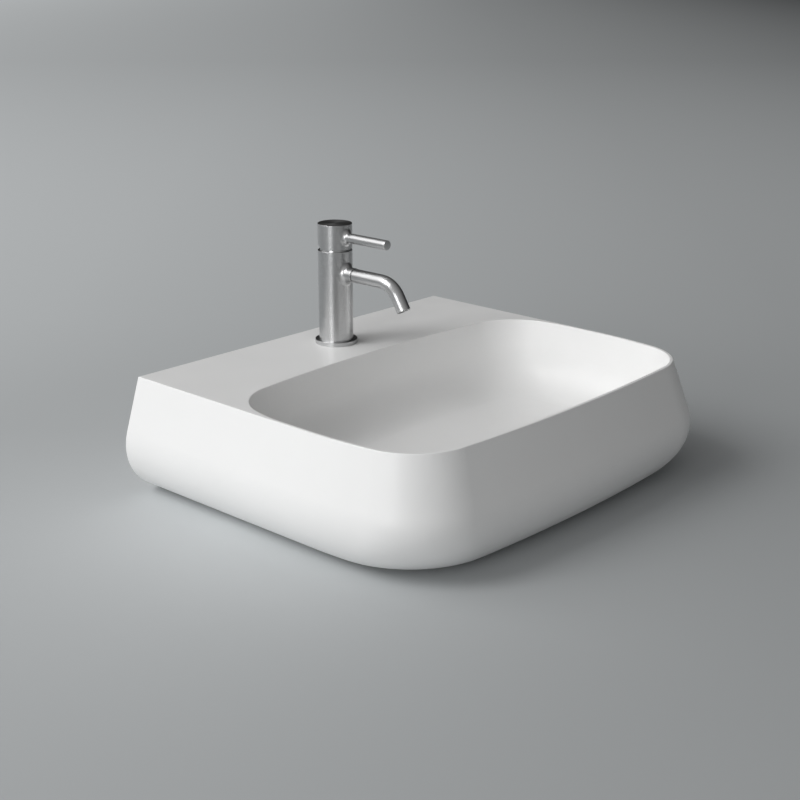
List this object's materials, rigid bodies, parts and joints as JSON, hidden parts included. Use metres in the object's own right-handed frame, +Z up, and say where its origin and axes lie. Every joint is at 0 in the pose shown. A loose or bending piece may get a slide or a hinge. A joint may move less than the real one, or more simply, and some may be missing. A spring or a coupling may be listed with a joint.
{
  "type": "washbasin",
  "caption": "Softly rounded white ceramic washbasin with a flat back deck, a wide bowl, a single-lever brushed steel mixer tap and a click waste.",
  "frame": {"origin": "middle of the overall footprint at floor level, on the underside of the foot", "axes": "+X to the user's right facing the wall, +Y to the wall side, +Z up; the bowl's front faces -Y"},
  "size_m": [0.6, 0.49, 0.31],
  "materials": {
    "ceramic": "matte white glaze",
    "brushed_steel": "satin brushed stainless steel",
    "polished_steel": "polished stainless steel",
    "zinc_steel": "zinc plated steel",
    "brass": "turned brass",
    "rubber": "black rubber",
    "white_plastic": "moulded white plastic",
    "disc_ceramic": "lapped alumina"
  },
  "bodies": {
    "basin": {"basin_body": "ceramic", "tap_body": "brushed_steel", "base_rosette": "brushed_steel", "spout_collar": "brushed_steel", "spout_tube": "brushed_steel", "waste_body": "polished_steel", "aerator_shell": "polished_steel", "cover_dome": "polished_steel", "fixing_stud": "zinc_steel", "horseshoe_plate": "zinc_steel", "stud_nut": "zinc_steel", "click_spring": "zinc_steel", "backnut": "brass", "cartridge_nut": "brass", "click_sleeve": "brass", "flange_gasket": "rubber", "tail_gasket": "rubber", "base_gasket": "rubber", "horseshoe_gasket": "rubber", "aerator_washer": "rubber", "port_seals": "rubber", "slip_washer": "white_plastic", "aerator_insert": "white_plastic", "cartridge_base": "white_plastic", "cartridge_housing": "white_plastic", "fixed_disc": "disc_ceramic"},
    "rotor": {"cartridge_rotor": "white_plastic", "pivot_pin": "zinc_steel"},
    "disc": {"moving_disc": "disc_ceramic", "disc_carrier": "white_plastic"},
    "handle": {"handle_cap": "brushed_steel", "handle_lever": "brushed_steel", "lever_stem": "zinc_steel", "grub_screw": "zinc_steel"},
    "plug": {"plug_cap": "polished_steel", "plug_seal": "rubber", "plug_stem": "zinc_steel"}
  },
  "joints": [
    {"name": "handle_turn", "type": "hinge", "parent": "basin", "child": "rotor", "pos_m": [0, 0.1758, 0.272], "axis": [0, 0, 1], "range_deg": [-50, 50]},
    {"name": "handle_lift", "type": "hinge", "parent": "rotor", "child": "handle", "pos_m": [0, 0.1758, 0.272], "axis": [-1, 0, 0], "range_deg": [0, 20]},
    {"name": "disc_slide", "type": "slide", "parent": "rotor", "child": "disc", "axis": [0, -1, 0], "range_m": [0, 0.0028]},
    {"name": "plug_travel", "type": "slide", "parent": "basin", "child": "plug", "axis": [0, 0, 1], "range_m": [0, 0.009], "deforming": ["click_spring"]}
  ],
  "couplings": [
    {"joint": "disc_slide", "follows": "handle_lift", "m_per_rad": 0.008}
  ]
}
